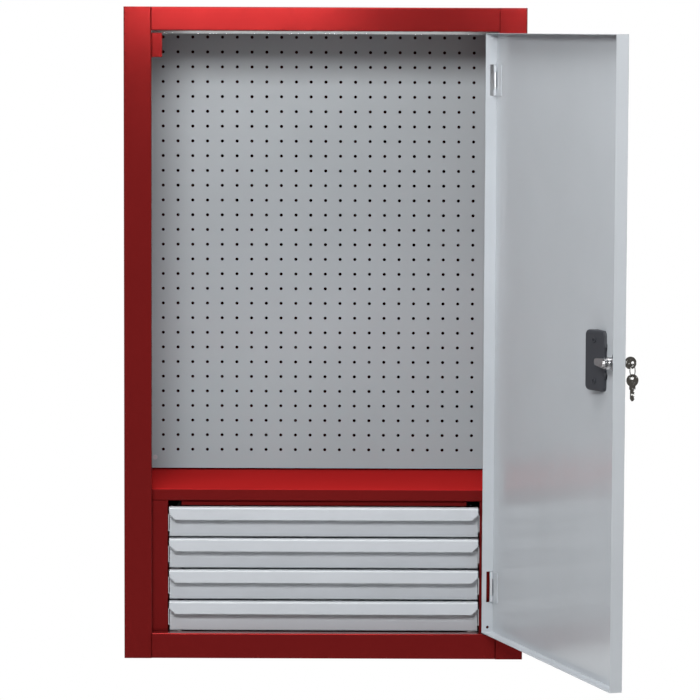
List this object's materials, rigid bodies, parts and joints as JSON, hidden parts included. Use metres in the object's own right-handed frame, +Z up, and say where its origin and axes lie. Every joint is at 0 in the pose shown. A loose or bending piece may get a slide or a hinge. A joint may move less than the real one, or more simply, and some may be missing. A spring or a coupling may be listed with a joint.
{
  "type": "wall tool cabinet",
  "caption": "Wall-hung sheet-steel tool cabinet: perforated tool panel, ledge over shallow drawers with full-width pull lips, and a side-hinged door with a recessed pull and a cam lock.",
  "frame": {"origin": "middle of the back face, on the wall", "axes": "+X to the right seen from the front, +Y into the wall, +Z up"},
  "size_m": [0.7945, 0.8459, 1.06],
  "materials": {
    "red_paint": "semi-gloss powder coat, red",
    "grey_paint": "semi-gloss powder coat, light grey",
    "drawer_paint": "semi-gloss powder coat, light grey",
    "zinc_steel": "bright zinc plate",
    "lock_chrome": "bright chrome plate",
    "dark_steel": "blackened steel",
    "key_nickel": "nickel plate",
    "black_plastic": "fine moulded grain"
  },
  "bodies": {
    "cabinet": {"left_side": "red_paint", "right_side": "red_paint", "top_panel": "red_paint", "bottom_panel": "red_paint", "back_panel": "red_paint", "pegboard_panel": "grey_paint", "pegboard_top_rail": "grey_paint", "left_pegboard_rail": "grey_paint", "right_pegboard_rail": "grey_paint", "pegboard_screws": "zinc_steel", "door_stop": "red_paint", "shelf_ledge": "red_paint", "left_housing_side": "red_paint", "right_housing_side": "red_paint", "left_runner_channels": "zinc_steel", "right_runner_channels": "zinc_steel", "upper_hinge_frame_leaf": "zinc_steel", "lower_hinge_frame_leaf": "zinc_steel", "upper_hinge_pin": "zinc_steel", "lower_hinge_pin": "zinc_steel"},
    "door": {"door_skin": "grey_paint", "door_edge_frame": "grey_paint", "upper_hinge_door_leaf": "grey_paint", "lower_hinge_door_leaf": "grey_paint", "handle_cup": "black_plastic", "lock_body": "lock_chrome", "lock_nut": "dark_steel"},
    "lock_core": {"lock_plug": "lock_chrome", "lock_cam": "lock_chrome", "cam_screw": "lock_chrome"},
    "key": {"door_key": "key_nickel"},
    "key_ring": {"key_ring": "key_nickel"},
    "spare_key": {"spare_key": "key_nickel"},
    "drawer_1": {"drawer_1_front": "drawer_paint", "drawer_1_tray": "drawer_paint", "drawer_1_slides": "zinc_steel"},
    "drawer_2": {"drawer_2_front": "drawer_paint", "drawer_2_tray": "drawer_paint", "drawer_2_slides": "zinc_steel"},
    "drawer_3": {"drawer_3_front": "drawer_paint", "drawer_3_tray": "drawer_paint", "drawer_3_slides": "zinc_steel"},
    "drawer_4": {"drawer_4_front": "drawer_paint", "drawer_4_tray": "drawer_paint", "drawer_4_slides": "zinc_steel"}
  },
  "joints": [
    {"name": "door_swing", "type": "hinge", "parent": "cabinet", "child": "door", "pos_m": [0.274, -0.3156, 0], "axis": [0, 0, 1], "range_deg": [-107.8, 2.2]},
    {"name": "lock_turn", "type": "hinge", "parent": "door", "child": "lock_core", "pos_m": [0.43776, -0.81127, 0.003], "axis": [0.9521, 0.3057, 0], "range_deg": [0, 180]},
    {"name": "key_pull", "type": "slide", "parent": "lock_core", "child": "key", "axis": [0.9521, 0.3057, 0], "range_m": [0, 0.03]},
    {"name": "ring_swing", "type": "hinge", "parent": "key", "child": "key_ring", "pos_m": [0.46014, -0.80408, 0.003], "axis": [-0.3057, 0.9521, 0], "range_deg": [-30, 15]},
    {"name": "spare_key_swing", "type": "hinge", "parent": "key_ring", "child": "spare_key", "pos_m": [0.46014, -0.80408, -0.01978], "axis": [-0.3057, 0.9521, 0], "range_deg": [-20, 20]},
    {"name": "drawer_1_slide", "type": "slide", "parent": "cabinet", "child": "drawer_1", "axis": [0, -1, 0], "range_m": [0, 0.2]},
    {"name": "drawer_2_slide", "type": "slide", "parent": "cabinet", "child": "drawer_2", "axis": [0, -1, 0], "range_m": [0, 0.2]},
    {"name": "drawer_3_slide", "type": "slide", "parent": "cabinet", "child": "drawer_3", "axis": [0, -1, 0], "range_m": [0, 0.2]},
    {"name": "drawer_4_slide", "type": "slide", "parent": "cabinet", "child": "drawer_4", "axis": [0, -1, 0], "range_m": [0, 0.2]}
  ]
}
